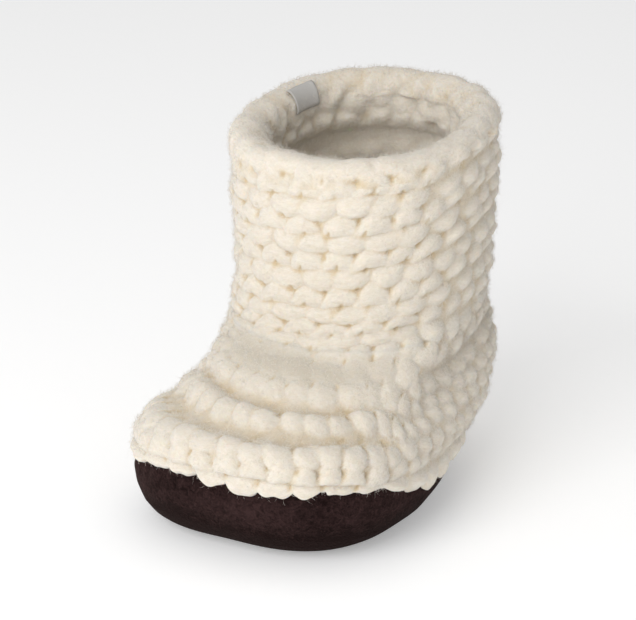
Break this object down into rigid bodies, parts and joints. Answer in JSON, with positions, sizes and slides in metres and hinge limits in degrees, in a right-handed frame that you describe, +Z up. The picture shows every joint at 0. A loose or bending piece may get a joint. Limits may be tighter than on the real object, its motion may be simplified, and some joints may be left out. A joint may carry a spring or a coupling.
{
  "type": "knit slipper boot",
  "caption": "Chunky hand-knit infant slipper boot, left foot, with ribbed purl courses, a rolled collar, a smooth felted vamp and a soft turned-up suede sole.",
  "frame": {"origin": "on the ground, under the middle of the boot's box", "axes": "+Z up, toe towards -Y, outer side of the left foot towards +X"},
  "size_m": [0.0902, 0.1348, 0.1188],
  "materials": {
    "suede": "dark brown suede with a fine matt nap",
    "knit": "cream bulky wool yarn, soft and slightly fuzzy",
    "fleece": "off-white fleece pile",
    "satin": "pale satin weave, bare"
  },
  "bodies": {
    "root": {"sole": "suede", "upper": "knit", "insole": "fleece", "label": "satin"}
  },
  "joints": []
}
